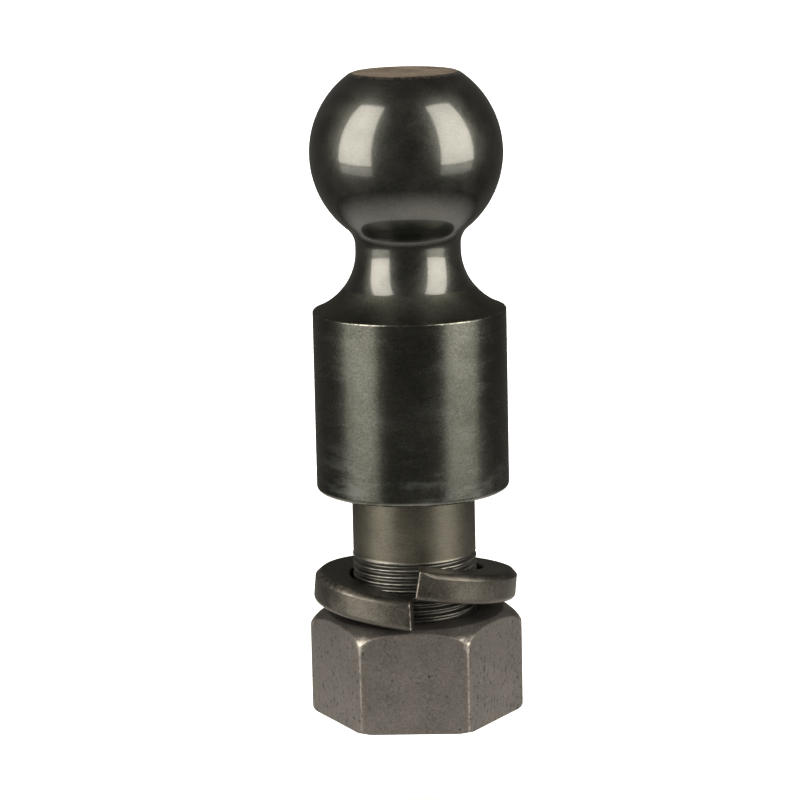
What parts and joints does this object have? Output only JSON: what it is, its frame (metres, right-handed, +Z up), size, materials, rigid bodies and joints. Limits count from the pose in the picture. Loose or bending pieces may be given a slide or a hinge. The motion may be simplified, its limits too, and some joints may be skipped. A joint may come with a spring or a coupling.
{
  "type": "trailer hitch ball",
  "caption": "Trailer hitch ball: forged ball stud with tall collar and threaded shank, helical spring lock washer and hexagon nut.",
  "frame": {"origin": "on the stud's axis, in the plane of the collar's flat underside that seats on the drawbar", "axes": "+Z up along the stud's axis towards the ball; -Y is the side where the lock washer's ends meet"},
  "size_m": [0.0654, 0.0626, 0.1986],
  "materials": {
    "ball_stud_steel": "oiled black oxide over a machined forging, polished on the ball",
    "spring_steel": "oiled spring steel with worn edges and sheared ends",
    "nut_steel": "forged and heat treated grey-brown steel, pitted faces, bright worn corners"
  },
  "bodies": {
    "hitch_ball": {"hitch_ball": "ball_stud_steel"},
    "lock_washer": {"lock_washer": "spring_steel"},
    "hex_nut": {"hex_nut": "nut_steel"}
  },
  "joints": [
    {"name": "washer_slide", "type": "slide", "parent": "hitch_ball", "child": "lock_washer", "axis": [0, 0, 1], "range_m": [-0.0329, 0.0175]},
    {"name": "nut_spin", "type": "hinge", "parent": "lock_washer", "child": "hex_nut", "pos_m": [0, 0, -0.05465], "axis": [0, 0, 1], "range_deg": [-5580, 2970]}
  ],
  "couplings": [
    {"joint": "washer_slide", "follows": "nut_spin", "m_per_rad": 0.00033688}
  ]
}
